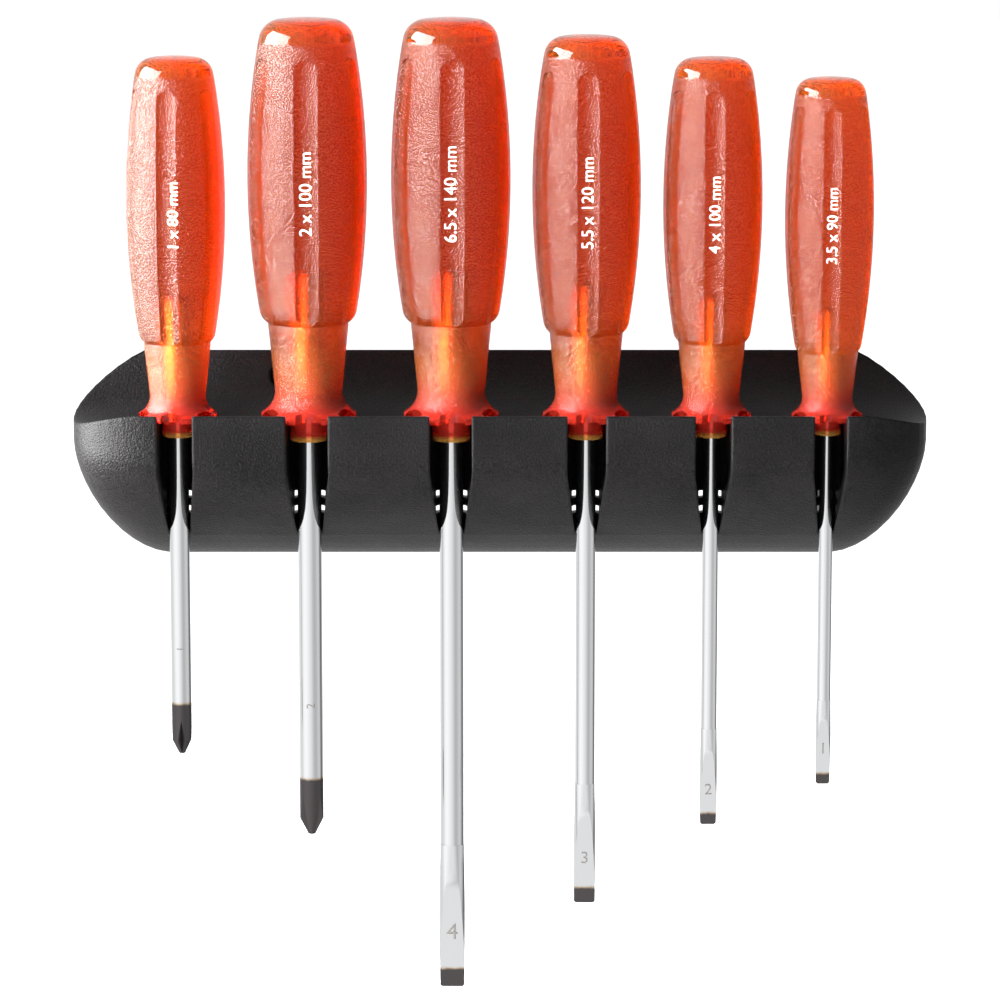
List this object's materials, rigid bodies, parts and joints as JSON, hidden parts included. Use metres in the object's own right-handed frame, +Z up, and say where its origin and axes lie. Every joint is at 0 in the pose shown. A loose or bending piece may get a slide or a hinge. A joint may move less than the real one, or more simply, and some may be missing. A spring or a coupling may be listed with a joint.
{
  "type": "screwdriver_set_in_wall_holder",
  "caption": "Set of slotted and crosspoint screwdrivers with translucent red-orange grips, standing in the slots of a black wall rack",
  "frame": {"origin": "on the wall plane, midway between the two screw holes of the rack", "axes": "+Z up along the screwdrivers, -Y the front of the rack, +X to the right seen from the front"},
  "size_m": [0.213, 0.038, 0.2462],
  "materials": {
    "rack_plastic": "black moulded plastic with a fine grain",
    "grip_plastic": "translucent red-orange moulded plastic, stippled on the sides and polished on the domed top",
    "blade_steel": "chrome-plated steel with a blackened working end"
  },
  "bodies": {
    "root": {"wall_holder": "rack_plastic", "handle_cross_1": "grip_plastic", "handle_cross_2": "grip_plastic", "handle_slot_4": "grip_plastic", "handle_slot_3": "grip_plastic", "handle_slot_2": "grip_plastic", "handle_slot_1": "grip_plastic", "blade_cross_1": "blade_steel", "blade_cross_2": "blade_steel", "blade_slot_4": "blade_steel", "blade_slot_3": "blade_steel", "blade_slot_2": "blade_steel", "blade_slot_1": "blade_steel"}
  },
  "joints": []
}
